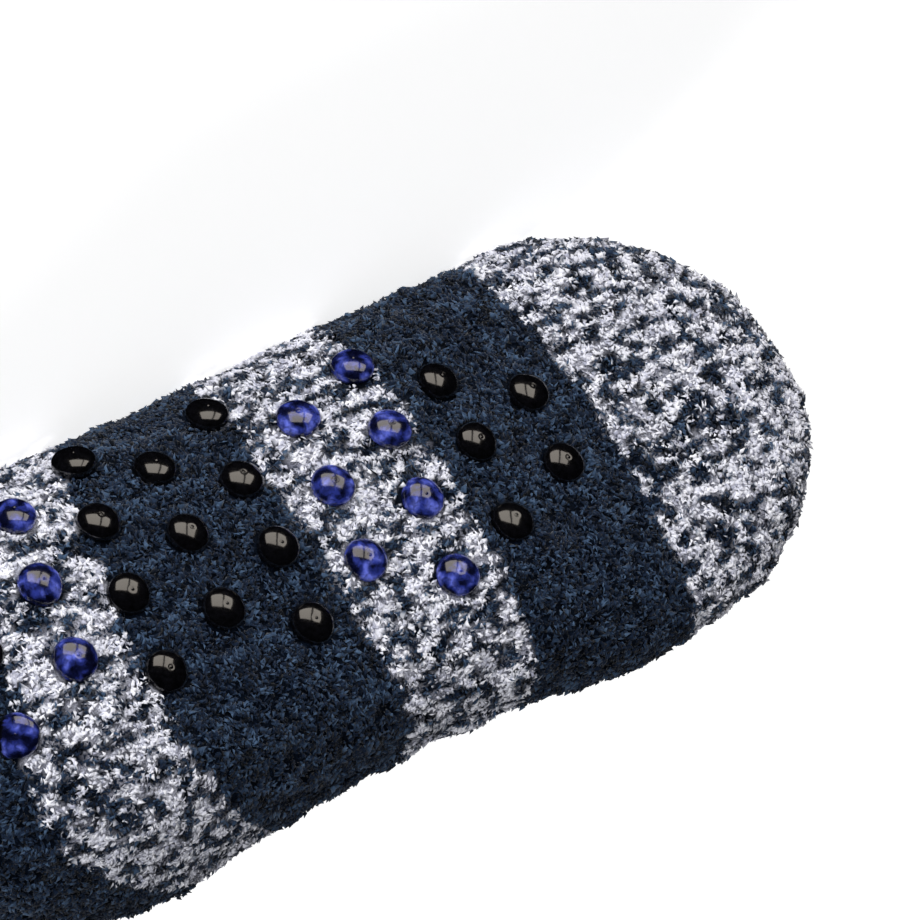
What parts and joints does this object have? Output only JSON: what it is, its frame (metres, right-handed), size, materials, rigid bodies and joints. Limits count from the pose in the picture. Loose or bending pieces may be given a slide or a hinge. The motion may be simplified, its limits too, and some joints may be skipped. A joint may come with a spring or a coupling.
{
  "type": "slipper sock",
  "caption": "Fluffy knitted slipper sock lying on its side, open at the collar, with moulded grip dots on its sole.",
  "frame": {"origin": "middle of the footprint at the floor, with the sock lying on its side", "axes": "+X from the toe to the heel, +Y from the sole up the leg to the collar, +Z across the foot, up"},
  "size_m": [0.2499, 0.2084, 0.1007],
  "materials": {
    "chenille_yarn": "matte",
    "grip_gel": "gloss"
  },
  "bodies": {
    "root": {"sock_body": "chenille_yarn", "grip_dot_01": "grip_gel", "grip_dot_02": "grip_gel", "grip_dot_03": "grip_gel", "grip_dot_04": "grip_gel", "grip_dot_05": "grip_gel", "grip_dot_06": "grip_gel", "grip_dot_07": "grip_gel", "grip_dot_08": "grip_gel", "grip_dot_09": "grip_gel", "grip_dot_10": "grip_gel", "grip_dot_11": "grip_gel", "grip_dot_12": "grip_gel", "grip_dot_13": "grip_gel", "grip_dot_14": "grip_gel", "grip_dot_15": "grip_gel", "grip_dot_16": "grip_gel", "grip_dot_17": "grip_gel", "grip_dot_18": "grip_gel", "grip_dot_19": "grip_gel", "grip_dot_20": "grip_gel", "grip_dot_21": "grip_gel", "grip_dot_22": "grip_gel", "grip_dot_23": "grip_gel", "grip_dot_24": "grip_gel", "grip_dot_25": "grip_gel", "grip_dot_26": "grip_gel", "grip_dot_27": "grip_gel", "grip_dot_28": "grip_gel", "grip_dot_29": "grip_gel", "grip_dot_30": "grip_gel", "grip_dot_31": "grip_gel", "grip_dot_32": "grip_gel", "grip_dot_33": "grip_gel"}
  },
  "joints": []
}
